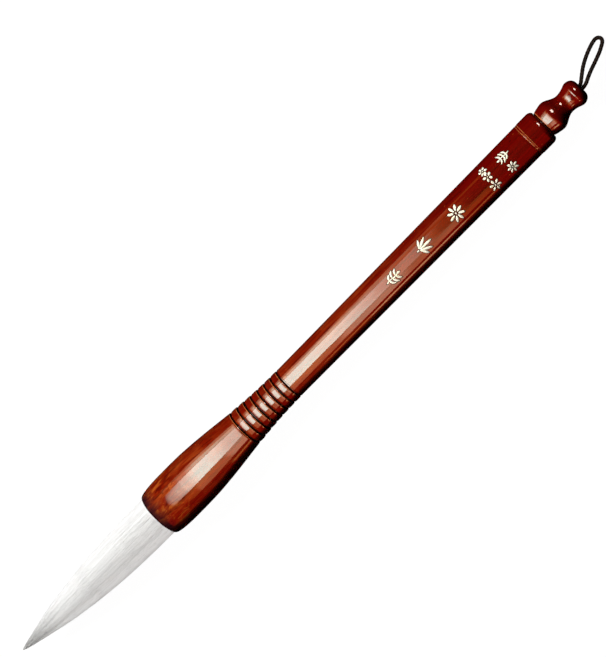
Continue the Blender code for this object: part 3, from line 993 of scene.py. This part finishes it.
def make_ornaments():
    """Painted ornaments in a row down the shaft, each with a dark rim under the paint."""
    rows = [
        ((188.9, 0.0), turned_strokes(spray(), 0.0, 0.95)),
        ((204.2, 0.2), turned_strokes(fan(), 0.0, 1.0)),
        ((219.3, 0.2), turned_strokes(blossom(), 0.0, 1.0)),
        ((235.4, 3.9), turned_strokes(blossom(6, 1.75, 0.4, 0.9), 0.5, 0.95)),
        ((235.4, 1.3), turned_strokes(blossom(5, 1.75, 0.4, 0.95), 0.0, 1.0)),
        ((235.4, -2.7), turned_strokes(blossom(6, 2.15, 0.45, 1.0), 0.3, 1.0)),
        ((243.7, 2.5), turned_strokes(spray(), math.pi, 0.80)),
        ((243.7, -2.5), turned_strokes(blossom(7, 2.3, 0.45, 1.0), 0.0, 0.9)),
    ]
    for name, height, grow, material in (
        ("ornament_edges", 0.02, 0.22, shadow_edge_material()),
        ("ornament_paint", 0.07, 0.0, inlay_material()),
    ):
        verts, faces = [], []
        for centre, strokes in rows:
            for points, widths in strokes:
                stroke(verts, faces, centre, points, widths, height, grow)
        marks = mesh_object(name, verts, faces)
        paint(marks, material)
        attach(marks, "handle")


# ---------------------------------------------------------------- hair


def hair_radius(x):
    """Outer radius of the tuft, rounded at its very tip."""
    share = np.clip(np.asarray(x, float) / MOUTH, 0, 1)
    body = HAIR_RADIUS * (1 - (1 - share) ** 2.5)
    blunt = 0.30 * np.exp(-np.asarray(x, float) / 7.0)
    return np.minimum(body + blunt * (1 - np.exp(-np.asarray(x, float) / 0.5)), HAIR_RADIUS)


def hair_centre(x):
    """How far the tuft's centre line leans to +y, most at the tip."""
    return 0.75 * (1 - np.clip(np.asarray(x, float) / MOUTH, 0, 1)) ** 1.6


def lock_relief(x, turn):
    """Ridges of clumped hair, in mm, that run down the tuft and close in on its tip."""
    fade = np.clip(hair_radius(x) / HAIR_RADIUS, 0.05, 1)
    wander = 0.05 * np.sin(x / 19.0 + 2 * turn) + 0.02 * np.sin(x / 9.3 + 5 * turn)
    t = turn + wander
    relief = (0.024 * np.sin(19 * t + 0.6) + 0.018 * np.sin(33 * t + 1.9 + x / 31)
              + 0.014 * np.sin(61 * t + x / 17) + 0.010 * np.sin(97 * t - x / 13))
    return relief * fade


def tuft_mesh(name, start, end, rows, columns=224):
    """A closed length of the tuft's body between two places along it."""
    xs = start + (end - start) * np.linspace(0, 1, rows)
    if start == 0:
        xs = end * np.linspace(0, 1, rows) ** 1.35
        xs[0] = 0.05
    turns = np.linspace(0, math.tau, columns, endpoint=False)
    x, turn = np.meshgrid(xs, turns, indexing="ij")
    r = hair_radius(x) - 0.10 * hair_radius(x) / HAIR_RADIUS + lock_relief(x, turn)
    verts = np.stack([x, hair_centre(x) + r * np.sin(turn), r * np.cos(turn)], axis=-1)
    verts = verts.reshape(-1, 3)
    arc = turn * HAIR_RADIUS
    facts = np.stack([x, arc, np.zeros_like(x)], axis=-1).reshape(-1, 3)
    faces = [
        (i * columns + k, i * columns + (k + 1) % columns,
         (i + 1) * columns + (k + 1) % columns, (i + 1) * columns + k)
        for i in range(rows - 1) for k in range(columns)
    ]
    faces.append(tuple(reversed(range(columns))))
    faces.append(tuple(range((rows - 1) * columns, rows * columns)))
    obj = mesh_object(name, verts, faces)
    obj.data.set_sharp_from_angle(angle=math.radians(60))
    store(obj.data, "hair", facts)
    return obj


def strand(rng):
    """One hair's centreline from its root to its end: points, thickness and tone."""
    turn = rng.uniform(0, math.tau)
    end = abs(rng.gauss(0, 8)) if rng.random() < 0.75 else rng.uniform(0, 34)
    end = min(end, 40.0) + 0.3
    drift, phase = rng.uniform(-0.03, 0.03), rng.uniform(0, math.tau)
    lift = rng.uniform(-0.07, 0.01)
    stray = rng.random() < 0.02
    shares = np.linspace(0, 1, 20)
    x = HAIR_ROOT + (end - HAIR_ROOT) * shares
    sway = np.sin((HAIR_ROOT - x) / 17 + phase)
    turns = turn + drift * sway + 0.35 * drift * np.sin(x / 6 + phase)
    r = hair_radius(x) + lift * np.clip(hair_radius(x) / 4, 0.15, 1) + lock_relief(x, turns) * 0.6
    if stray:
        r = r + 0.28 * shares**5
    points = np.stack([x, hair_centre(x) + r * np.sin(turns), r * np.cos(turns)], axis=-1)
    width = rng.uniform(0.035, 0.060) * (1 - 0.7 * shares**3)
    return points, width, turns * HAIR_RADIUS, max(0.0, rng.gauss(0, 0.5))


def add_tube(builder, points, widths, arcs, tone, sides=3):
    """Adds a thin tube along the points to a mesh that is being built."""
    verts, faces, facts = builder
    first = len(verts)
    for i, point in enumerate(points):
        ahead = points[min(i + 1, len(points) - 1)] - points[max(i - 1, 0)]
        ahead = ahead / np.linalg.norm(ahead)
        out = np.array((0.0, point[1], point[2]))
        out = out - ahead * out.dot(ahead)
        out = out / max(np.linalg.norm(out), 1e-9)
        across = np.cross(ahead, out)
        for k in range(sides):
            a = math.tau * k / sides
            verts.append(point + (out * math.cos(a) + across * math.sin(a)) * widths[i])
            facts.append((point[0], arcs[i], tone))
    count = len(points)
    for i in range(count - 1):
        a, b = first + i * sides, first + (i + 1) * sides
        faces += [(a + k, a + (k + 1) % sides, b + (k + 1) % sides, b + k) for k in range(sides)]
    faces.append(tuple(first + k for k in reversed(range(sides))))
    faces.append(tuple(first + (count - 1) * sides + k for k in range(sides)))


def make_strands(count):
    """Every hair is cut once, in the stiff stretch, and its halves go to two pieces."""
    rng = random.Random(SEED)
    upper, lower = ([], [], []), ([], [], [])
    for _ in range(count):
        points, widths, arcs, tone = strand(rng)
        cut = rng.uniform(HAIR_CUT - CUT_SPREAD, HAIR_CUT + CUT_SPREAD)
        above = points[:, 0] > cut
        last = int(above.sum())
        if last >= len(points) - 1:
            add_tube(upper, points, widths, arcs, tone)
            continue
        share = (points[last - 1, 0] - cut) / (points[last - 1, 0] - points[last, 0])
        here = points[last - 1] + (points[last] - points[last - 1]) * share
        add_tube(upper, np.vstack([points[:last], here]), np.append(widths[:last], widths[last]),
                 np.append(arcs[:last], arcs[last]), tone)
        add_tube(lower, np.vstack([here, points[last:]]), np.append(widths[last], widths[last:]),
                 np.append(arcs[last], arcs[last:]), tone)
    made = []
    for name, builder in (("belly_hairs", upper), ("tip_hairs", lower)):
        verts, faces, facts = builder
        obj = mesh_object(name, verts, faces)
        store(obj.data, "hair", facts)
        made.append(obj)
    return made


def make_tuft():
    material = hair_material("white_hair", (0.82, 0.82, 0.815), (0.45, 0.45, 0.445), "hair")
    belly_body = tuft_mesh("belly_hair_body", HAIR_CUT, HAIR_ROOT, 90)
    tip_body = tuft_mesh("tip_hair_body", 0, HAIR_CUT, 90)
    count = STRAND_COUNT
    belly_hairs, tip_hairs = make_strands(count)
    for obj in (belly_body, belly_hairs, tip_body, tip_hairs):
        paint(obj, material)
    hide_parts("hair_coat_root", "hair_coat_belly")
    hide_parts("hair_coat_tip")
    for obj in (belly_body, belly_hairs):
        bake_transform(obj)
    for obj in (tip_body, tip_hairs):
        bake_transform(obj)


# ---------------------------------------------------------------- pieces inside


def finish_inner_nodes():
    """The CAD pieces that stay get materials of their own."""
    brown = hidden_material("core_hair", (0.50, 0.33, 0.18), (0.24, 0.13, 0.06), (9, 0.3, 0.3), 0.6)
    cotton = hidden_material("cotton", (0.74, 0.68, 0.54), (0.55, 0.48, 0.34), (0.3, 0.2, 0.2), 0.8)
    resin = hidden_material("melted_resin", (0.32, 0.13, 0.03), (0.16, 0.05, 0.01), (2, 2, 2), 0.25)
    glue = hidden_material("dried_glue", (0.56, 0.46, 0.22), (0.42, 0.33, 0.14),
                           (1.5, 1.5, 1.5), 0.3)
    knot = hidden_material("knotted_cord", (0.014, 0.008, 0.006), (0.06, 0.03, 0.02),
                           (0.5, 0.2, 0.2), 0.55)
    for node, material in (
        ("hair_core_root", brown),
        ("hair_core_belly", brown),
        ("hair_core_tip", brown),
        ("root_binding_thread", cotton),
        ("root_resin_seal", resin),
        ("ferrule_glue", glue),
        ("loop_knot", knot),
    ):
        paint(frame["nodes"][node], material)


def main():
    bpy.context.scene.view_settings.view_transform = "Standard"
    make_camera()
    make_cord()
    make_world()
    hair, rest = bpy.data.collections.new("hair"), bpy.data.collections.new("rest")
    make_lights(hair, rest)
    make_floor()
    make_ferrule()
    make_shaft()
    make_collar()
    make_finial()
    make_ornaments()
    make_tuft()
    finish_inner_nodes()
    for obj in bpy.context.scene.objects:
        if obj.type == "MESH":
            (hair if "hair" in obj.name else rest).objects.link(obj)


main()
